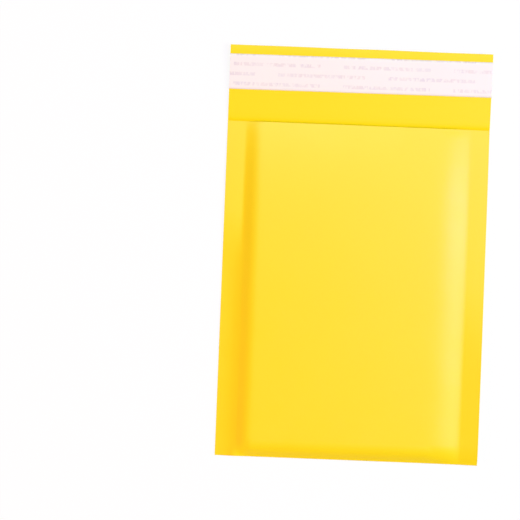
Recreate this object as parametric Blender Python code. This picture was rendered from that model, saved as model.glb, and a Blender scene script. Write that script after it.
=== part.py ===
"""A padded mailing envelope, lying on its back with its mouth and open flap towards +Y.

One strip of kraft paper makes the flap, the back panel, the bottom fold and the front panel. A pocket of
bubble film lines it and is melted flat between the papers along both sides. A glue stripe near the flap's
free edge waits under a peel-off strip. Sizes are in metres. In the envelope's own frame x runs across it,
y runs from the bottom fold to the flap's free edge, and z = 0 is the mid-plane of the pocket.
"""

import math

import bmesh
import bpy

# Outline of the folded sheet
PANEL_WIDTH = 0.180
POCKET_LENGTH = 0.230
FLAP_LENGTH = 0.052

# Layers
PAPER_THICKNESS = 0.00015
PAD_THICKNESS = 0.0020
SEAL_FILM_THICKNESS = 0.0003
POCKET_GAP = 0.0009
LAYER_GAP = 0.0003

# Cushion: it rises from the side seals and the bottom fold, and is pressed flatter at the mouth
SIDE_SEAL = 0.012
SIDE_RISE_LENGTH = 0.017
SIDE_RISE_POWER = 3.5
BOTTOM_RISE_LENGTH = 0.020
BOTTOM_RISE_POWER = 3.0
MOUTH_TAPER_LENGTH = 0.080
MOUTH_PRESS = 0.0008

# Bottom fold
FOLDED_LINER_THICKNESS = 0.0012
FOLD_DEPTH = 0.0006
FOLD_SEGMENTS = 8
POCKET_FLOOR = 0.0030

# Mouth and flap
LINER_SETBACK = 0.0005
FLAP_SETTLE_LENGTH = 0.030
FLAP_LIFT = 0.0042

# Glue stripe and peel-off strip, from the flap's free edge
STRIP_MARGIN = 0.0055
STRIP_WIDTH = 0.024
STRIP_THICKNESS = 0.0001
GLUE_WIDTH = 0.018
GLUE_THICKNESS = 0.0001
GLUE_END_MARGIN = 0.003

# Where the meshes have their lines, as shares of a rise, of the mouth's taper and of the flap's settling
RISE_STEPS = (0.06, 0.14, 0.22, 0.32, 0.44, 0.58, 0.76, 1.0)
TAPER_STEPS = (0.0, 0.25, 0.5, 0.75)
SETTLE_STEPS = (0.15, 0.35, 0.55, 0.75, 1.0)
CLOSEST_LINES = 0.001
CUTTER_OVERSHOOT = 0.004
MERGE_DISTANCE = 1e-7
SHARP_ANGLE = math.radians(40)

# Colours (linear) and roughness of the materials
KRAFT_COLOUR = (0.99, 0.73, 0.05)
FILM_COLOUR = (0.86, 0.88, 0.90)
GLUE_COLOUR = (0.90, 0.84, 0.66)
STRIP_COLOUR = (0.96, 0.88, 0.86)
KRAFT_ROUGHNESS = 0.55
FILM_ROUGHNESS = 0.25
GLUE_ROUGHNESS = 0.30
STRIP_ROUGHNESS = 0.45

# Heights above the mid-plane, worked out from the layers
SEAL_HALF = SEAL_FILM_THICKNESS / 2
FOLD_HALF = FOLDED_LINER_THICKNESS / 2
LINER_HALF = PAD_THICKNESS + POCKET_GAP / 2
PAPER_HALF = LINER_HALF + LAYER_GAP
OUTER_HALF = PAPER_HALF + PAPER_THICKNESS

# Places along x and y, worked out from the outline
SEAL_LINE = PANEL_WIDTH / 2 - SIDE_SEAL
FOLD_LINE = PAPER_THICKNESS + FOLD_DEPTH
POCKET_START = FOLD_LINE + POCKET_FLOOR
TAPER_START = POCKET_LENGTH - MOUTH_TAPER_LENGTH
LINER_END = POCKET_LENGTH - LINER_SETBACK
FLAP_END = POCKET_LENGTH + FLAP_LENGTH
STRIP_END = FLAP_END - STRIP_MARGIN
STRIP_START = STRIP_END - STRIP_WIDTH
STRIP_MIDDLE = (STRIP_START + STRIP_END) / 2
GLUE_START = STRIP_MIDDLE - GLUE_WIDTH / 2
GLUE_END = STRIP_MIDDLE + GLUE_WIDTH / 2


def clamped(share):
    return min(max(share, 0.0), 1.0)


def smooth(share):
    """From 0 to 1, level at both ends."""
    t = clamped(share)
    return t * t * (3 - 2 * t)


def side_rise(share):
    """How far the cushion has risen at this share of its side shoulder. It leaves the seal line level."""
    t = clamped(share)
    return 1 - (1 - t) ** SIDE_RISE_POWER * (1 + SIDE_RISE_POWER * t)


def bottom_rise(share):
    """How far the cushion has risen at this share of its bottom end. It is steepest at the fold."""
    return 1 - (1 - clamped(share)) ** BOTTOM_RISE_POWER


def liner_level(x, y):
    """Height of the liner's outer face above the mid-plane."""
    from_fold = bottom_rise((y - FOLD_LINE) / BOTTOM_RISE_LENGTH)
    pressed = MOUTH_PRESS * smooth((y - TAPER_START) / MOUTH_TAPER_LENGTH)
    crown = FOLD_HALF + (LINER_HALF - FOLD_HALF) * from_fold - pressed
    from_seal = side_rise((SEAL_LINE - abs(x)) / SIDE_RISE_LENGTH)
    return SEAL_HALF + (crown - SEAL_HALF) * from_seal


def hollow_level(x, y):
    """Height of the pocket's hollow above the mid-plane. It closes to nothing at the side seals."""
    fullness = (liner_level(x, y) - SEAL_HALF) / (LINER_HALF - SEAL_HALF)
    return POCKET_GAP / 2 * math.sqrt(max(fullness, 0.0))


def front_level(x, y):
    """Height of the front panel's inner face."""
    return liner_level(x, y) + LAYER_GAP


def back_level(x, y):
    """Height of the back panel's inner face."""
    return -front_level(x, y)


def flap_level(x, y):
    """Height of the flap's inner face. It leaves the mouth as the back panel does, flattens and then lifts."""
    settled = smooth((y - POCKET_LENGTH) / FLAP_SETTLE_LENGTH)
    at_mouth = back_level(x, POCKET_LENGTH)
    lift = FLAP_LIFT * ((y - POCKET_LENGTH) / FLAP_LENGTH) ** 2
    return at_mouth + (-PAPER_HALF - at_mouth) * settled + lift


def glue_level(x, y):
    """Height of the glue stripe's underside."""
    return flap_level(x, y) + LAYER_GAP


def strip_level(x, y):
    """Height of the peel-off strip's underside."""
    return glue_level(x, y) + GLUE_THICKNESS + LAYER_GAP


def columns(inset=0.0):
    """Places along x from left to right: the edge, the seal line and the side shoulder, on both sides."""
    left = [inset - PANEL_WIDTH / 2, -SEAL_LINE]
    left += [step * SIDE_RISE_LENGTH - SEAL_LINE for step in RISE_STEPS]
    return left + [-x for x in reversed(left)]


def pocket_rows(end):
    """Places along y from the bottom fold to an end at the mouth."""
    rows = [FOLD_LINE]
    rows += [FOLD_LINE + step * BOTTOM_RISE_LENGTH for step in RISE_STEPS]
    rows += [TAPER_START + step * MOUTH_TAPER_LENGTH for step in TAPER_STEPS]
    return rows + [end]


def flap_rows(start, end):
    """Places along y over a stretch of the flap, with the lines where the whole flap has them."""
    lines = [POCKET_LENGTH + step * FLAP_SETTLE_LENGTH for step in SETTLE_STEPS]
    lines += [STRIP_START, STRIP_MIDDLE, STRIP_END]
    rows = [start]
    for y in sorted(lines):
        if min(y - rows[-1], end - y) > CLOSEST_LINES:
            rows.append(y)
    return rows + [end]


def points(level, rows, xs):
    """Rows of points over a level."""
    return [[(x, y, level(x, y)) for x in xs] for y in rows]


def fold_points(xs):
    """Rows of points round the bottom fold, from the back panel to the front one."""
    turns = [math.pi * step / FOLD_SEGMENTS for step in range(1, FOLD_SEGMENTS)]
    return [
        [(x, FOLD_LINE - FOLD_DEPTH * math.sin(turn), back_level(x, FOLD_LINE) * math.cos(turn)) for x in xs]
        for turn in turns
    ]


def tile(bm, rows):
    """Cover rows of vertices with quads. Seen from the side they face, points run right and rows run up."""
    for near, far in zip(rows, rows[1:]):
        for i in range(len(near) - 1):
            bm.faces.new((near[i], near[i + 1], far[i + 1], far[i]))


def add_vertices(bm, rows):
    return [[bm.verts.new(point) for point in row] for row in rows]


def new_material(name, colour, roughness):
    material = bpy.data.materials.new(name)
    material.use_nodes = True
    shader = material.node_tree.nodes["Principled BSDF"]
    shader.inputs["Base Color"].default_value = (*colour, 1.0)
    shader.inputs["Roughness"].default_value = roughness
    shader.inputs["Metallic"].default_value = 0.0
    return material


def new_object(name, bm, parent):
    """An object of its own from a finished bmesh, shaded smooth but for its real edges."""
    mesh = bpy.data.meshes.new(name)
    bm.to_mesh(mesh)
    bm.free()
    mesh.shade_smooth()
    mesh.set_sharp_from_angle(angle=SHARP_ANGLE)
    piece = bpy.data.objects.new(name, mesh)
    piece.parent = parent
    bpy.context.scene.collection.objects.link(piece)
    return piece


def new_sheet(name, rows, thickness, material, parent):
    """A thin sheet: rows of points give one face, and it thickens to the side that the quads face."""
    bm = bmesh.new()
    tile(bm, add_vertices(bm, rows))
    sheet = new_object(name, bm, parent)
    sheet.data.materials.append(material)
    solidify = sheet.modifiers.new("Thickness", "SOLIDIFY")
    solidify.thickness = thickness
    solidify.offset = 1.0
    solidify.use_even_offset = True
    return sheet


def new_pillow(name, level, rows, xs, parent):
    """A closed body between a level and its mirror image below the mid-plane."""
    bm = bmesh.new()
    upper = add_vertices(bm, points(level, rows, xs))
    lower = add_vertices(bm, [[(x, y, -z) for x, y, z in row] for row in points(level, rows, xs)])
    tile(bm, upper)
    tile(bm, [row[::-1] for row in lower])
    tile(bm, [[low[0], high[0]] for low, high in zip(lower, upper)])
    tile(bm, [[high[-1], low[-1]] for low, high in zip(lower, upper)])
    tile(bm, [lower[0], upper[0]])
    tile(bm, [upper[-1], lower[-1]])
    bmesh.ops.remove_doubles(bm, verts=bm.verts, dist=MERGE_DISTANCE)
    return new_object(name, bm, parent)


def kraft_envelope(parent):
    """The paper, as its inner face from the flap's free edge round the bottom fold to the mouth."""
    xs = columns()
    rows = points(flap_level, flap_rows(POCKET_LENGTH, FLAP_END)[:0:-1], xs)
    rows += points(back_level, reversed(pocket_rows(POCKET_LENGTH)), xs)
    rows += fold_points(xs)
    rows += points(front_level, pocket_rows(POCKET_LENGTH), xs)
    material = new_material("Kraft paper", KRAFT_COLOUR, KRAFT_ROUGHNESS)
    return new_sheet("kraft_envelope", rows, PAPER_THICKNESS, material, parent)


def bubble_liner(parent):
    """The folded bubble film: a pillow that the hollow of the pocket is cut from, open at the mouth."""
    liner = new_pillow("bubble_liner", liner_level, pocket_rows(LINER_END), columns(), parent)
    liner.data.materials.append(new_material("Bubble film", FILM_COLOUR, FILM_ROUGHNESS))
    hollow_rows = [y for y in pocket_rows(LINER_END + CUTTER_OVERSHOOT) if y > POCKET_START]
    cutter = new_pillow("hollow_cutter", hollow_level, [POCKET_START] + hollow_rows, columns()[1:-1], parent)
    cutter.hide_render = True
    cutter.display_type = "WIRE"
    hollow = liner.modifiers.new("Hollow", "BOOLEAN")
    hollow.operation = "DIFFERENCE"
    hollow.solver = "EXACT"
    hollow.object = cutter
    return liner


def adhesive_strip(parent):
    """The glue stripe, shorter than the strip that covers it."""
    rows = points(glue_level, flap_rows(GLUE_START, GLUE_END), columns(GLUE_END_MARGIN))
    material = new_material("Glue", GLUE_COLOUR, GLUE_ROUGHNESS)
    return new_sheet("adhesive_strip", rows, GLUE_THICKNESS, material, parent)


def release_strip(parent):
    """The peel-off strip over the glue, as long as the envelope is wide."""
    rows = points(strip_level, flap_rows(STRIP_START, STRIP_END), columns())
    material = new_material("Release paper", STRIP_COLOUR, STRIP_ROUGHNESS)
    return new_sheet("release_strip", rows, STRIP_THICKNESS, material, parent)


def main():
    for old in list(bpy.data.objects):
        bpy.data.objects.remove(old, do_unlink=True)
    envelope = bpy.data.objects.new("padded_envelope", None)
    envelope.location = (0.0, -FLAP_END / 2, OUTER_HALF)
    bpy.context.scene.collection.objects.link(envelope)
    kraft_envelope(envelope)
    bubble_liner(envelope)
    adhesive_strip(envelope)
    release_strip(envelope)


main()
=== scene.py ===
"""Looks of the padded envelope: paper, bubble film, glue and peel-off strip, in a studio with a camera."""

import math

import bpy
import numpy as np
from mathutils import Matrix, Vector, noise


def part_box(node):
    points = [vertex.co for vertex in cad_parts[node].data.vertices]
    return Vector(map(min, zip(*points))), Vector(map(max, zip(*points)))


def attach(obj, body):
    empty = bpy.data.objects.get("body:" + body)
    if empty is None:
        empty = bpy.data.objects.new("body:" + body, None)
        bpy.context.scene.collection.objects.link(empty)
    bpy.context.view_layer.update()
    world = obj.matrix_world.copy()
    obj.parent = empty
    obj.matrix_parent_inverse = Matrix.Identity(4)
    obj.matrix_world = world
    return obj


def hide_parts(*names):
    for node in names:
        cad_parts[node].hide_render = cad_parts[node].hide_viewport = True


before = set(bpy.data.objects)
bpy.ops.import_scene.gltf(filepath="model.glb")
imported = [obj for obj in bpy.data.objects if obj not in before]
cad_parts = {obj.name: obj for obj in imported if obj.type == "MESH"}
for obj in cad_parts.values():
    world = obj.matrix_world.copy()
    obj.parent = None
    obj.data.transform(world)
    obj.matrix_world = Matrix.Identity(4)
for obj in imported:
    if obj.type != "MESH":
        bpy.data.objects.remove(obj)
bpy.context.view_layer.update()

MM = 0.001

# Places in the frame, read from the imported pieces
paper_low, paper_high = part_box("kraft_envelope")
liner_low, liner_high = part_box("bubble_liner")
strip_low, strip_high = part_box("release_strip")
glue_low, glue_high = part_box("adhesive_strip")
HALF_WIDTH = paper_high.x
BOTTOM = paper_low.y
FLAP_EDGE = paper_high.y
LINER_SETBACK = 0.5 * MM
MOUTH = liner_high.y + LINER_SETBACK
MID_HEIGHT = paper_high.z / 2

# Layers: thicknesses, half the height of a side seal, and the room that is left between them
PAPER = 0.15 * MM
SEAL_HALF = 0.25 * MM
FILM = 0.06 * MM
FILM_CLEARANCE = 0.06 * MM
FILM_FUSED_HALF = 0.02 * MM
FILM_FOLD_INSET = 0.35 * MM
POCKET_SLACK = 0.45 * MM
GLUE = 0.06 * MM
STRIP = 0.06 * MM
STUCK_CLEARANCE = 0.015 * MM

# Cushion: lengths and powers of the curves at its shoulders and bottom end, and how it closes at the mouth
SEAL_WIDTH = 12 * MM
SEAL_LINE = HALF_WIDTH - SEAL_WIDTH
LEFT_SHOULDER = 14.8 * MM
LEFT_POWER = 3.4
LEFT_SAG = 0.6 * MM
RIGHT_SHOULDER = 31.5 * MM
RIGHT_POWER = 4.6
RIGHT_SAG = -0.95 * MM
BOTTOM_RISE = 13 * MM
BOTTOM_POWER = 3.1
FOLD_HALF = 0.55 * MM
FOLD_DEPTH = 0.70 * MM
MOUTH_TAPER = 122 * MM
MOUTH_HALF = 0.85 * MM
MOUTH_LIP = 25 * MM
MOUTH_EASING = 5 * MM
MOUTH_LOOSENING = 0.25

# Side seals: how far their outer edges hang below the seal line, near the bottom end and further up. A value
# below zero stands above the line, and each pair of heights is where the one turns into the other
LEFT_HANG = 0.85 * MM
LEFT_BEND = 0.9 * MM
LEFT_BEND_ABOVE = 0.05 * MM
LEFT_TURNS = (125 * MM, 170 * MM)
BEND_POWER = 3
RIGHT_HANG = -1.65 * MM
RIGHT_HANG_ABOVE = -0.35 * MM
RIGHT_TURNS = (60 * MM, 130 * MM)
SEAL_EASING = 0.8 * MM

# How far the bottom end sinks, over which length, and how softly the paper meets the table where it lands
BOTTOM_END = 14 * MM
BOTTOM_SINK = 2.1 * MM
LANDING = 0.3 * MM
LEAST_LANDING = 0.006 * MM

# Flap: its lift at the free edge, its crease at the mouth and the curl of its free edge
FLAP_LIFT = 3.95 * MM
FLAP_LIFT_POWER = 1.08
FLAP_CREASE = 1.0 * MM
FLAP_CREASE_LENGTH = 1.3 * MM
FLAP_CREASE_END = 3 * MM
FLAP_CURL = 0.5 * MM
FLAP_CURL_LENGTH = 7 * MM

# Unevenness of the paper: each kind's height, its sizes across and along, and its seed
SLACK = (0.05 * MM, 50 * MM, 65 * MM, 1.0)
SHOULDER_WANDER = (0.06, 1, 35 * MM, 3.0)
SEAL_WAVE = (0.06 * MM, 40 * MM, 30 * MM, 5.0)
SEAL_STREAK = (0.015 * MM, 3 * MM, 90 * MM, 6.0)
FRONT_PUCKER = (0.035 * MM, 25 * MM, 6 * MM, 7.0)
BACK_PUCKER = (0.035 * MM, 25 * MM, 6 * MM, 9.0)
FLAP_WAVE = (0.20 * MM, 60 * MM, 50 * MM, 11.0)
EDGE_WAVE = (0.15 * MM, 28 * MM, 60 * MM, 13.0)
MOUTH_GAPE = (0.25 * MM, 30 * MM, 1, 15.0)
EDGE_SWAY = (0.25 * MM, 35 * MM, 1, 17.0)
BUBBLE_PRINT = 0.006 * MM

# Distances in from a seal line at which its puckers are full, start to fade and are gone
PUCKER_FULL = 3.6 * MM
PUCKER_FADE = 6 * MM
PUCKER_END = 24 * MM

# Steps of the meshes
SHOULDER_STEP = 0.8 * MM
MIDDLE_STEP = 2.2 * MM
BEND_STEP = 1 * MM
FRONT_STEP = 1.5 * MM
BACK_STEP = 2.6 * MM
FLAP_STEP = 1.6 * MM
CURL_STEP = 0.8 * MM
CREASE_STEP = 0.3 * MM
FOLD_STEPS = 13
STRIP_COLUMNS = 121
STRIP_ROWS = 18

# Width of the mesh's last loop along the cut edges, which keeps their shading crisp
EDGE_LOOP = 0.1 * MM

# How far in from the seal lines the film's mesh keeps the paper's columns
SEAL_OVERLAP = 4 * MM

# Bubbles of the film, in staggered rows, with the mesh's columns and rows for each
BUBBLE_PITCH = 11 * MM
BUBBLE_ROW = BUBBLE_PITCH * math.sqrt(3) / 2
BUBBLE_RADIUS = 5 * MM
BUBBLE_HEIGHT = 2.2 * MM
BUBBLE_FULLNESS = 1.3
BUBBLE_COLUMNS = 8
BUBBLE_ROWS = 6

# How far the peel-off strip and its glue lie lower at their left end
STRIP_SKEW = 0.8 * MM

# Print on the peel-off strip: rows of plain blots in staggered groups
PRINT_ROW = 6.7 * MM
PRINT_FIRST_ROW = 5.6 * MM
PRINT_HEIGHT = 2.8 * MM
PRINT_PERIOD = 75.5 * MM
PRINT_LENGTH = 59.5 * MM
PRINT_START = 2.6 * MM
PRINT_STAGGER = 30.8 * MM
PRINT_BLOT = 1.8 * MM
PRINT_FADE = (0.38, 0.56)

# The photograph's frame in its pixels, and the camera
PHOTO_SIZE = 520
PHOTO_CENTRE_X = 354
PHOTO_CENTRE_Y = 255
PHOTO_WIDTH = 263
CAMERA_ROLL = math.radians(2.27)
CAMERA_LENS = 135
SENSOR_WIDTH = 36


def soft_step(low, high, value):
    """0 below low, 1 above high, and a soft step between."""
    t = np.clip((value - low) / (high - low), 0, 1)
    return t * t * (3 - 2 * t)


def soft_maximum(first, second, width):
    """The larger of two values, rounded off where they are within a width of each other."""
    close = np.clip(1 - np.abs(first - second) / width, 0, 1)
    return np.maximum(first, second) + width * close**2 / 4


def ripple(x, y, height, size_x, size_y, seed):
    """Smooth noise of about this height up and down, whose bumps have about these sizes."""
    flat = [noise.noise(Vector((a / size_x, b / size_y, seed))) for a, b in zip(x.ravel(), y.ravel())]
    return height * np.array(flat).reshape(x.shape)


def hexagonal_waves(x, y):
    """A smooth pattern from -0.5 to 1 that peaks at the middle of each bubble."""
    across = 2 * math.pi * x / BUBBLE_PITCH
    along = math.pi * (y - BOTTOM) / BUBBLE_ROW
    return (np.cos(2 * along) + 2 * np.cos(across) * np.cos(along)) / 3


def bubble_dome(x, y):
    """Height of the bubbles from 0 to 1: domes pressed flat on top."""
    along = y - BOTTOM
    squares = []
    for shift in (0.0, 0.5):
        dx = x / BUBBLE_PITCH - shift
        dy = along / (2 * BUBBLE_ROW) - shift
        dx = (dx - np.round(dx)) * BUBBLE_PITCH
        dy = (dy - np.round(dy)) * 2 * BUBBLE_ROW
        squares.append(dx**2 + dy**2)
    share = np.minimum(*squares) / BUBBLE_RADIUS**2
    return np.minimum(BUBBLE_FULLNESS * np.sqrt(np.clip(1 - share, 0, 1)), 1)


def shoulder(inward, length, power):
    """How far the cushion has risen at this distance in from the seal line."""
    t = np.clip(inward / length, 0, 1)
    return 1 - (1 - t) ** power * (1 + power * t)


def near_mouth(y):
    """0 on most of the pocket, rising to 1 at the mouth."""
    return np.clip((y - MOUTH) / MOUTH_TAPER + 1, 0, 1) ** 2


def half_height(x, y):
    """Height of the paper's outer face above the mid-plane."""
    from_fold = np.clip((y - BOTTOM - FOLD_DEPTH) / BOTTOM_RISE, 0, 1)
    crown = FOLD_HALF + (MID_HEIGHT - FOLD_HALF) * (1 - (1 - from_fold) ** BOTTOM_POWER)
    crown = crown - (MID_HEIGHT - MOUTH_HALF) * near_mouth(y)
    wander = 1 + ripple(np.sign(x), y, *SHOULDER_WANDER)
    wander += MOUTH_LOOSENING * soft_step(MOUTH - MOUTH_EASING, MOUTH, y)
    inward = SEAL_LINE - np.abs(x)
    left = shoulder(inward, LEFT_SHOULDER * wander, LEFT_POWER)
    right = shoulder(inward, RIGHT_SHOULDER * wander, RIGHT_POWER)
    return SEAL_HALF + (crown - SEAL_HALF) * np.where(x < 0, left, right)


def seal_offset(inward, hang, bend):
    """Height of a side seal against the cushion's mid-plane, at this distance in from the edge."""
    slope = (hang + BEND_POWER * bend) / SEAL_WIDTH
    ease = slope * SEAL_EASING * np.exp(-np.clip(inward - SEAL_WIDTH, 0, None) / SEAL_EASING)
    t = np.clip(inward / SEAL_WIDTH, 0, 1)
    return -ease - hang * (1 - t) - bend * (1 - t**BEND_POWER)


def mid_plane(x, y):
    """Height of the mid-plane. The seals hang or stand away from it, and both ends sink to the table."""
    up = y - BOTTOM
    inward = HALF_WIDTH - np.abs(x)
    low = 1 - soft_step(*LEFT_TURNS, up)
    bend = LEFT_BEND_ABOVE + (LEFT_BEND - LEFT_BEND_ABOVE) * low
    left_rise = shoulder(inward - SEAL_WIDTH, LEFT_SHOULDER, LEFT_POWER)
    left = seal_offset(inward, LEFT_HANG * low, bend) - LEFT_SAG * (1 - left_rise)
    low = 1 - soft_step(*RIGHT_TURNS, up)
    hang = RIGHT_HANG_ABOVE + (RIGHT_HANG - RIGHT_HANG_ABOVE) * low
    right_rise = shoulder(inward - SEAL_WIDTH, RIGHT_SHOULDER, RIGHT_POWER)
    right = seal_offset(inward, hang, 0) - RIGHT_SAG * (1 - right_rise)
    sinking = BOTTOM_SINK * np.where(x < 0, left_rise, 1)
    bottom_end = sinking * (1 - np.clip(up / BOTTOM_END, 0, 1)) ** 2
    wave = soft_step(SEAL_WIDTH, 0, inward) * (ripple(x, y, *SEAL_WAVE) + ripple(x, y, *SEAL_STREAK))
    free = MID_HEIGHT + np.where(x < 0, left, right) - bottom_end + wave
    half = half_height(x, y)
    settled = soft_maximum(free, half, LEAST_LANDING + LANDING * (1 - half / MID_HEIGHT))
    return settled + (half - settled) * near_mouth(y)


def puckers(x, y, kind):
    """Short ripples that run out from the side seals into the cushion."""
    inward = SEAL_LINE - np.abs(x)
    reach = soft_step(0, PUCKER_FULL, inward) * soft_step(PUCKER_END, PUCKER_FADE, inward)
    return reach * ripple(x, y, *kind)


def front_face(x, y):
    """Height of the front panel's outer face."""
    loose = shoulder(SEAL_LINE - np.abs(x), RIGHT_SHOULDER, RIGHT_POWER)
    relief = ripple(x, y, *SLACK) + BUBBLE_PRINT * hexagonal_waves(x, y)
    relief += soft_step(MOUTH - MOUTH_LIP, MOUTH, y) * ripple(x, y, *MOUTH_GAPE)
    return mid_plane(x, y) + half_height(x, y) + loose * relief + puckers(x, y, FRONT_PUCKER)


def back_face(x, y):
    """Height of the back panel's outer face, which lies flat on whatever is under it."""
    return np.maximum(mid_plane(x, y) - half_height(x, y) + puckers(x, y, BACK_PUCKER), 0)


def flap_face(x, y):
    """Height of the flap's lower face. It bends up at the mouth and curls down again at its free edge."""
    out = np.clip(y - MOUTH, 0, None)
    lift = FLAP_LIFT * (out / (FLAP_EDGE - MOUTH)) ** FLAP_LIFT_POWER
    crease = FLAP_CREASE * (1 - np.exp(-out / FLAP_CREASE_LENGTH))
    curl = FLAP_CURL * (np.clip(y - FLAP_EDGE + FLAP_CURL_LENGTH, 0, None) / FLAP_CURL_LENGTH) ** 2
    loose = soft_step(0, FLAP_EDGE - MOUTH, out)
    wave = loose * ripple(x, y, *FLAP_WAVE) + loose**2 * ripple(x, y, *EDGE_WAVE)
    return lift + crease - curl + wave


def flap_top(x, y):
    return flap_face(x, y) + PAPER


def spaced(start, end, step):
    """Places from start to end, about a step apart, without the last."""
    count = max(1, round(abs(end - start) / step))
    return list(np.linspace(start, end, count + 1)[:-1])


def columns():
    """Places across the paper, closest together on the seals and the shoulders."""
    left = [-HALF_WIDTH] + spaced(-HALF_WIDTH + EDGE_LOOP, -SEAL_LINE + RIGHT_SHOULDER, SHOULDER_STEP)
    middle = spaced(-SEAL_LINE + RIGHT_SHOULDER, SEAL_LINE - RIGHT_SHOULDER, MIDDLE_STEP)
    return np.array(left + middle + [-x for x in reversed(left + middle[:1])])


def film_columns():
    """Places across the film: the paper's own over the seals, and even steps over the bubbles."""
    left = [x for x in columns() if x < -SEAL_LINE + SEAL_OVERLAP]
    middle = spaced(left[-1], -left[-1], BUBBLE_PITCH / BUBBLE_COLUMNS)[1:]
    return np.array(left + middle + [-x for x in reversed(left)])


def panel_rows(end, step):
    """Places up a panel from the bottom fold to its end, closest together near the fold."""
    start = BOTTOM + FOLD_DEPTH
    bend = start + BOTTOM_RISE
    last = end - EDGE_LOOP
    return np.array(spaced(start, bend, BEND_STEP) + spaced(bend, last, step) + [last, end])


def surface(height, xs, ys):
    """Points over a height, one row for each place along y, as an array of rows, columns and x, y, z."""
    x, y = np.meshgrid(xs, ys)
    return np.stack([x, y, height(x, y)], axis=-1)


def fold_surface(xs, inset, half):
    """Points round the bottom fold from the back panel to the front one."""
    line = np.full_like(xs, BOTTOM + FOLD_DEPTH)
    middle = mid_plane(xs, line)
    rows = []
    for turn in np.linspace(0, math.pi, FOLD_STEPS + 1)[1:-1]:
        y = line - (FOLD_DEPTH - inset) * math.sin(turn)
        rows.append(np.stack([xs, y, middle - half * math.cos(turn)], axis=-1))
    return np.array(rows)


def quads(rows, columns_count, first=0):
    """Faces of a grid of vertices. Seen from the side they face, columns run right and rows run up."""
    index = np.arange(rows * columns_count).reshape(rows, columns_count) + first
    corners = (index[:-1, :-1], index[:-1, 1:], index[1:, 1:], index[1:, :-1])
    return np.stack(corners, axis=-1).reshape(-1, 4)


def rim_quads(rows, columns_count):
    """Faces that close the four edges between a grid and a second one that follows it in the vertices."""
    outer = np.arange(rows * columns_count).reshape(rows, columns_count)
    loop = np.concatenate([outer[0, :-1], outer[:-1, -1], outer[-1, :0:-1], outer[:0:-1, 0]])
    ahead = np.roll(loop, -1)
    inner = rows * columns_count
    return np.stack([loop, loop + inner, ahead + inner, ahead], axis=-1)


def new_piece(name, vertices, faces, materials, node):
    """A smooth mesh that rides on the part and stands for one of its nodes."""
    mesh = bpy.data.meshes.new(name)
    mesh.from_pydata(vertices.reshape(-1, 3).tolist(), [], faces.tolist())
    mesh.validate()
    mesh.shade_smooth()
    for material in materials:
        mesh.materials.append(material)
    piece = bpy.data.objects.new(name, mesh)
    bpy.context.scene.collection.objects.link(piece)
    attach(piece, "root")
    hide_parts(node)
    return piece


def thicken(piece, thickness, offset):
    """Give a sheet its thickness. Its other side and its cut edges take the next materials, if any."""
    solidify = piece.modifiers.new("Thickness", "SOLIDIFY")
    solidify.thickness = thickness
    solidify.offset = offset
    solidify.use_even_offset = True
    solidify.material_offset = min(1, len(piece.data.materials) - 1)
    solidify.material_offset_rim = len(piece.data.materials) - 1
    return piece


def new_sheet(name, grid, thickness, offset, materials, node):
    piece = new_piece(name, grid, quads(*grid.shape[:2]), materials, node)
    return thicken(piece, thickness, offset)


def make_paper():
    """One sheet of kraft paper from the flap's free edge round the bottom fold to the mouth."""
    xs = columns()
    flap_ys = [FLAP_EDGE] + spaced(FLAP_EDGE - EDGE_LOOP, FLAP_EDGE - FLAP_CURL_LENGTH, CURL_STEP)
    flap_ys += spaced(FLAP_EDGE - FLAP_CURL_LENGTH, MOUTH + FLAP_CREASE_END, FLAP_STEP)
    flap_ys += spaced(MOUTH + FLAP_CREASE_END, MOUTH, CREASE_STEP)
    fold_half = half_height(xs, np.full_like(xs, BOTTOM + FOLD_DEPTH))
    flap = surface(flap_face, xs, np.array(flap_ys))
    free = soft_step(MOUTH, FLAP_EDGE, flap[..., 1])
    flap[..., 1] += free * ripple(flap[..., 0], flap[..., 1], *EDGE_SWAY)
    grid = np.concatenate([
        flap,
        surface(back_face, xs, panel_rows(MOUTH, BACK_STEP)[::-1]),
        fold_surface(xs, 0, fold_half),
        surface(front_face, xs, panel_rows(MOUTH, FRONT_STEP)),
    ])
    materials = [kraft_material(), inner_side_material(), cut_edge_material()]
    return new_sheet("kraft_paper", grid, PAPER, -1, materials, "kraft_envelope")


def film_half(x, y):
    """Height of the film's outer face above the mid-plane."""
    return half_height(x, y) - PAPER - FILM_CLEARANCE


def film_inner(x, y, outer, sign):
    """Height of the film's bubbled face, under its outer one on the front and over it on the back."""
    fullness = (half_height(x, y) - SEAL_HALF) / (MID_HEIGHT - SEAL_HALF)
    room = film_half(x, y) - FILM - POCKET_SLACK * np.sqrt(np.clip(fullness, 0, 1))
    bubbles = np.minimum(BUBBLE_HEIGHT, np.clip(room, 0, None)) * bubble_dome(x, y)
    depth = np.minimum(FILM + bubbles, film_half(x, y) - FILM_FUSED_HALF)
    return outer - sign * depth


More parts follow.
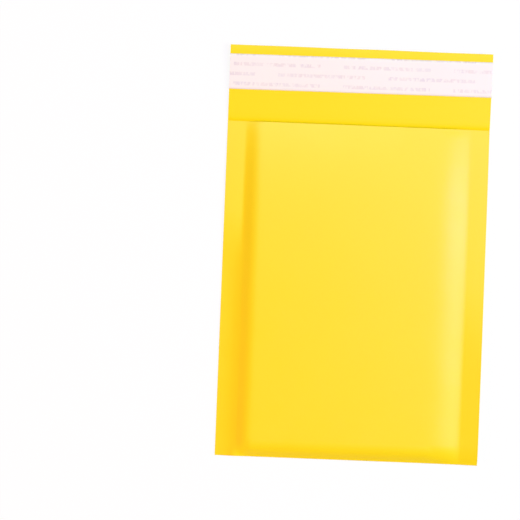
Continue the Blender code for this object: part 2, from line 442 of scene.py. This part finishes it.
def make_film():
    """The pocket of bubble film: flat against the papers, with its bubbles facing in."""
    xs = film_columns()
    ys = panel_rows(liner_high.y, BUBBLE_ROW / BUBBLE_ROWS)
    x, y = np.meshgrid(xs, ys)
    skin = PAPER + FILM_CLEARANCE
    front = front_face(x, y) - skin
    back = back_face(x, y) + skin
    fold_half = film_half(xs, np.full_like(xs, ys[0]))

    def halves(front_z, back_z, inset, half):
        upper = np.stack([x, y, front_z], axis=-1)
        lower = np.stack([x, y, back_z], axis=-1)[::-1]
        return np.concatenate([lower, fold_surface(xs, inset, half), upper])

    outer = halves(front, back, FILM_FOLD_INSET, fold_half)
    inner_front = film_inner(x, y, front, 1)
    inner_back = film_inner(x, y, back, -1)
    inner = halves(inner_front, inner_back, FILM_FOLD_INSET + FILM, (inner_front - inner_back)[0] / 2)
    rows, count = outer.shape[:2]
    inside = quads(rows, count, rows * count)[:, ::-1]
    faces = np.concatenate([quads(rows, count), inside, rim_quads(rows, count)])
    vertices = np.concatenate([outer, inner])
    film = new_piece("bubble_film", vertices, faces, [film_material()], "bubble_liner")
    return film


def on_flap(low, high, gap):
    """Points over a slightly skewed stretch of the flap, at a gap above it."""
    xs = np.linspace(low.x + EDGE_LOOP, high.x - EDGE_LOOP, STRIP_COLUMNS)
    xs = np.concatenate([[low.x], xs, [high.x]])
    ys = np.linspace(low.y, high.y, STRIP_ROWS)
    x, y = np.meshgrid(xs, ys)
    y = y - STRIP_SKEW * (HALF_WIDTH - x) / (2 * HALF_WIDTH)
    return np.stack([x, y, flap_top(x, y) + gap], axis=-1)


def make_glue():
    """The stripe of glue under the peel-off strip."""
    grid = on_flap(glue_low, glue_high, STUCK_CLEARANCE)
    return new_sheet("glue_stripe", grid, GLUE, 1, [glue_material()], "adhesive_strip")


def make_strip():
    """The peel-off strip over the glue."""
    grid = on_flap(strip_low, strip_high, GLUE + 2 * STUCK_CLEARANCE)
    return new_sheet("peel_strip", grid, STRIP, 1, [strip_material()], "release_strip")


class Shading:
    """A Principled material under construction, with short ways to add and link its nodes."""

    def __init__(self, name, colour, roughness, specular=0.5):
        self.material = bpy.data.materials.new(name)
        self.material.use_nodes = True
        self.tree = self.material.node_tree
        self.shader = self.tree.nodes["Principled BSDF"]
        self.shader.inputs["Base Color"].default_value = (*colour, 1)
        self.shader.inputs["Roughness"].default_value = roughness
        self.shader.inputs["Specular IOR Level"].default_value = specular

    def add(self, kind, inputs=(), **settings):
        node = self.tree.nodes.new(kind)
        for setting, value in settings.items():
            setattr(node, setting, value)
        for socket, value in dict(inputs).items():
            if isinstance(value, bpy.types.NodeSocket):
                self.tree.links.new(value, node.inputs[socket])
            else:
                node.inputs[socket].default_value = value
        return node

    def maths(self, operation, *values):
        return self.add("ShaderNodeMath", enumerate(values), operation=operation).outputs[0]

    def position(self, scale=(1, 1, 1)):
        """Object coordinates in metres, stretched by a scale."""
        coordinates = self.add("ShaderNodeTexCoord").outputs["Object"]
        return self.add("ShaderNodeMapping", {"Vector": coordinates, "Scale": scale}).outputs[0]

    def noise(self, scale, detail=3, stretch=(1, 1, 1)):
        inputs = {"Vector": self.position(stretch), "Scale": scale, "Detail": detail}
        return self.add("ShaderNodeTexNoise", inputs).outputs["Fac"]

    def spread(self, value, low, high):
        """Noise from about 0.3 to 0.7 brought to a range."""
        inputs = {"Value": value, "From Min": 0.3, "From Max": 0.7, "To Min": low, "To Max": high}
        return self.add("ShaderNodeMapRange", inputs).outputs[0]

    def ramp(self, value, low, high):
        """0 where the value is low and 1 where it is high."""
        inputs = {"Value": value, "From Min": low, "From Max": high}
        return self.add("ShaderNodeMapRange", inputs).outputs[0]

    def mix(self, share, first, second):
        node = self.add("ShaderNodeMix", {"Factor": share}, data_type="RGBA")
        for socket, colour in ((node.inputs["A"], first), (node.inputs["B"], second)):
            if isinstance(colour, bpy.types.NodeSocket):
                self.tree.links.new(colour, socket)
            else:
                socket.default_value = (*colour, 1)
        return node.outputs["Result"]

    def set(self, socket, value):
        self.tree.links.new(value, self.shader.inputs[socket])

    def bump(self, height, distance, strength=1):
        inputs = {"Height": height, "Distance": distance, "Strength": strength}
        self.set("Normal", self.add("ShaderNodeBump", inputs).outputs[0])


def kraft_material():
    """Smooth yellow paper: cloudy formation, fine fibres and a slight sheen."""
    kraft = Shading("kraft_paper", (1.0, 0.784, 0.004), 0.385, 0.50)
    clouds = kraft.spread(kraft.noise(28, 4), 0, 1)
    fibres = kraft.noise(900, 4, (1, 0.3, 1))
    base = kraft.mix(clouds, (1.0, 0.789, 0.004), (1.0, 0.777, 0.003))
    kraft.set("Base Color", kraft.mix(kraft.spread(fibres, 0, 0.4), base, (1.0, 0.797, 0.006)))
    kraft.set("Roughness", kraft.spread(kraft.noise(60, 3), 0.37, 0.40))
    kraft.bump(fibres, 0.02 * MM, 0.3)
    return kraft.material


def inner_side_material():
    """The paper's inner side, less glossy than its outer one."""
    inside = Shading("kraft_inner_side", (1.0, 0.785, 0.003), 0.40, 0.28)
    fibres = inside.noise(900, 4, (1, 0.3, 1))
    share = inside.spread(fibres, 0, 0.4)
    inside.set("Base Color", inside.mix(share, (1.0, 0.785, 0.003), (1.0, 0.795, 0.005)))
    inside.bump(fibres, 0.02 * MM, 0.3)
    return inside.material


def cut_edge_material():
    """The paper's cut edge, where paler fibres show."""
    edge = Shading("kraft_cut_edge", (0.91, 0.80, 0.17), 0.8)
    share = edge.spread(edge.noise(1500), 0, 1)
    edge.set("Base Color", edge.mix(share, (0.89, 0.77, 0.13), (0.94, 0.83, 0.22)))
    return edge.material


def film_material():
    """Clear film, slightly milky, that shows some of the paper behind it."""
    film = Shading("bubble_film", (0.90, 0.93, 0.96), 0.18)
    film.shader.inputs["Alpha"].default_value = 0.45
    milk = film.spread(film.noise(180, 2), 0, 1)
    film.set("Base Color", film.mix(milk, (0.90, 0.93, 0.96), (0.97, 0.98, 1.0)))
    film.bump(film.noise(300, 2), 0.05 * MM, 0.3)
    return film.material


def glue_material():
    """Hot-melt glue, pale and glossy, laid down in fine lines."""
    glue = Shading("hot_melt_glue", (0.90, 0.84, 0.66), 0.2)
    lines = glue.noise(250, 2, (0.05, 1, 1))
    glue.set("Base Color", glue.mix(glue.spread(lines, 0, 1), (0.90, 0.84, 0.66), (0.95, 0.90, 0.76)))
    glue.bump(lines, 0.03 * MM, 0.5)
    return glue.material


def print_mask(strip):
    """How strongly the print shows, from 0 to 1: rows of staggered groups of small plain blots."""
    place = strip.add("ShaderNodeSeparateXYZ", {"Vector": strip.position()})
    from_left = strip.maths("ADD", place.outputs["X"], HALF_WIDTH)
    skew = strip.maths("MULTIPLY", from_left, STRIP_SKEW / (2 * HALF_WIDTH))
    from_edge = strip.maths("SUBTRACT", skew, strip.maths("ADD", place.outputs["Y"], STRIP_SKEW - FLAP_EDGE))
    row_place = strip.maths("DIVIDE", strip.maths("SUBTRACT", from_edge, PRINT_FIRST_ROW), PRINT_ROW)
    row = strip.maths("ROUND", row_place)
    off_row = strip.maths("ABSOLUTE", strip.maths("SUBTRACT", row_place, row))
    in_row = strip.ramp(off_row, PRINT_HEIGHT / PRINT_ROW / 2, PRINT_HEIGHT / PRINT_ROW / 3)
    odd_row = strip.maths("PINGPONG", row, 1)
    stagger = strip.maths("MULTIPLY", strip.maths("SUBTRACT", 1, odd_row), PRINT_STAGGER)
    start = strip.maths("ADD", stagger, PRINT_START - PRINT_PERIOD)
    along = strip.maths("FLOORED_MODULO", strip.maths("SUBTRACT", from_left, start), PRINT_PERIOD)
    in_group = strip.maths("LESS_THAN", along, PRINT_LENGTH)
    blots = strip.ramp(strip.noise(1 / PRINT_BLOT, 1, (1, 0.5, 1)), *PRINT_FADE)
    return strip.maths("MULTIPLY", strip.maths("MULTIPLY", in_row, in_group), blots)


def strip_material():
    """Whitish peel-off strip with a silicone gloss and faint rows of plain blots."""
    strip = Shading("release_paper", (0.965, 0.935, 0.89), 0.35)
    clouds = strip.spread(strip.noise(60), 0, 1)
    base = strip.mix(clouds, (0.965, 0.94, 0.89), (0.955, 0.925, 0.88))
    ink = strip.mix(strip.spread(strip.noise(120), 0, 1), (0.84, 0.72, 0.70), (0.75, 0.70, 0.76))
    faint = strip.maths("MULTIPLY", print_mask(strip), strip.spread(strip.noise(90), 0.3, 0.75))
    strip.set("Base Color", strip.mix(faint, base, ink))
    strip.bump(strip.noise(400), 0.01 * MM, 0.3)
    return strip.material


# The floor as the camera sees it is mostly a glow, which with the lamps' light on it comes out white
FLOOR_SIZE = 40.0
FLOOR_COLOUR = (0.45, 0.45, 0.45)
FLOOR_GLOW = 0.8
FLOOR_BRIGHTNESS = 1.14


def seen_directly(shading):
    """1 for what the camera sees, also through film or in a gloss, and 0 for light that falls on things."""
    path = shading.add("ShaderNodeLightPath")
    seen = shading.maths("MAXIMUM", path.outputs["Is Camera Ray"], path.outputs["Is Transmission Ray"])
    return shading.maths("MAXIMUM", seen, path.outputs["Is Glossy Ray"])


def make_floor():
    """A white floor that keeps the envelope's soft shadow."""
    bpy.ops.mesh.primitive_plane_add(size=FLOOR_SIZE)
    floor = bpy.context.object
    floor.name = "floor"
    white = Shading("floor", FLOOR_COLOUR, 0.9, 0)
    glow = white.add("ShaderNodeEmission", {"Color": (1, 1, 1, 1), "Strength": FLOOR_BRIGHTNESS})
    share = white.maths("MULTIPLY", seen_directly(white), FLOOR_GLOW)
    mixed = white.add("ShaderNodeMixShader", {0: share, 1: white.shader.outputs[0], 2: glow.outputs[0]})
    white.tree.links.new(mixed.outputs[0], white.tree.nodes["Material Output"].inputs["Surface"])
    floor.data.materials.append(white.material)


# The world's light, and the heights between which its white horizon fades out
FILL_LEVEL = 0.16
HORIZON = (0.3, 0.6)


def make_world():
    """Even light from all round, and a white horizon behind everything that the camera sees."""
    world = bpy.data.worlds.new("studio")
    bpy.context.scene.world = world
    world.use_nodes = True
    tree = world.node_tree
    fill = tree.nodes["Background"]
    fill.inputs["Color"].default_value = (1, 1, 1, 1)
    fill.inputs["Strength"].default_value = FILL_LEVEL
    white = tree.nodes.new("ShaderNodeBackground")
    white.inputs["Color"].default_value = (1, 1, 1, 1)
    mixed = tree.nodes.new("ShaderNodeMixShader")
    tree.links.new(white_seen(tree), mixed.inputs[0])
    tree.links.new(fill.outputs[0], mixed.inputs[1])
    tree.links.new(white.outputs[0], mixed.inputs[2])
    tree.links.new(mixed.outputs[0], tree.nodes["World Output"].inputs["Surface"])


def white_seen(tree):
    """1 for what the camera sees directly, and near the horizon also for what gloss and clear film show."""
    path = tree.nodes.new("ShaderNodeLightPath")
    direction = tree.nodes.new("ShaderNodeTexCoord")
    parts = tree.nodes.new("ShaderNodeSeparateXYZ")
    tree.links.new(direction.outputs["Generated"], parts.inputs[0])
    low = tree.nodes.new("ShaderNodeMapRange")
    tree.links.new(parts.outputs["Z"], low.inputs["Value"])
    low.inputs["From Min"].default_value = HORIZON[1]
    low.inputs["From Max"].default_value = HORIZON[0]

    def joined(operation, first, second):
        node = tree.nodes.new("ShaderNodeMath")
        node.operation = operation
        tree.links.new(first, node.inputs[0])
        tree.links.new(second, node.inputs[1])
        return node.outputs[0]

    indirect = joined("MAXIMUM", path.outputs["Is Glossy Ray"], path.outputs["Is Transmission Ray"])
    return joined("MAXIMUM", path.outputs["Is Camera Ray"], joined("MULTIPLY", indirect, low.outputs[0]))


def area_light(name, tilt, turn, distance, size, level, colour):
    """A soft light, by its degrees from straight above and round from +X.

    Its level is the brightness that it gives a white surface facing up under it.
    """
    tilt = math.radians(tilt)
    turn = math.radians(turn)
    lamp = bpy.data.lights.new(name, "AREA")
    lamp.shape = "SQUARE"
    lamp.size = size
    lamp.color = colour
    lamp.energy = level * math.pi**2 * distance**2 / math.cos(tilt)
    light = bpy.data.objects.new(name, lamp)
    bpy.context.scene.collection.objects.link(light)
    away = Vector((math.sin(tilt) * math.cos(turn), math.sin(tilt) * math.sin(turn), math.cos(tilt)))
    light.location = away * distance
    light.rotation_euler = away.to_track_quat("Z", "Y").to_euler()


def make_lights():
    """A key light from the right, a softbox over the mouth, a cool glint and a warm reflector at the left.

    Their colours add up to about white on a surface facing up.
    """
    area_light("key", tilt=45, turn=-6, distance=3.0, size=1.2, level=0.505, colour=(0.85, 1.0, 0.43))
    area_light("softbox", tilt=25, turn=95, distance=2.2, size=0.62, level=0.26, colour=(0.93, 1.0, 0.88))
    area_light("glint", tilt=24.5, turn=12, distance=2.0, size=0.5, level=0.40, colour=(0.30, 0.13, 1.0))
    area_light("reflector", tilt=65, turn=205, distance=0.9, size=0.5, level=0.165, colour=(1.0, 0.12, 0.06))


def make_camera():
    """A long lens straight above, turned and moved aside so that the envelope lies as in the photo."""
    camera = bpy.data.objects.new("camera", bpy.data.cameras.new("camera"))
    bpy.context.scene.collection.objects.link(camera)
    camera.data.lens = CAMERA_LENS
    camera.data.sensor_width = SENSOR_WIDTH
    pixel = 2 * HALF_WIDTH / PHOTO_WIDTH
    right = Vector((math.cos(CAMERA_ROLL), math.sin(CAMERA_ROLL), 0))
    up = Vector((-math.sin(CAMERA_ROLL), math.cos(CAMERA_ROLL), 0))
    aside = right * (PHOTO_SIZE / 2 - PHOTO_CENTRE_X) + up * (PHOTO_CENTRE_Y - PHOTO_SIZE / 2)
    distance = PHOTO_SIZE * pixel * CAMERA_LENS / SENSOR_WIDTH
    camera.location = aside * pixel + Vector((0, 0, distance + 2 * MID_HEIGHT))
    camera.rotation_euler = (0, 0, CAMERA_ROLL)
    bpy.context.scene.camera = camera


make_camera()
make_paper()
make_film()
make_glue()
make_strip()
make_floor()
make_world()
make_lights()
bpy.context.scene.view_settings.view_transform = "Standard"
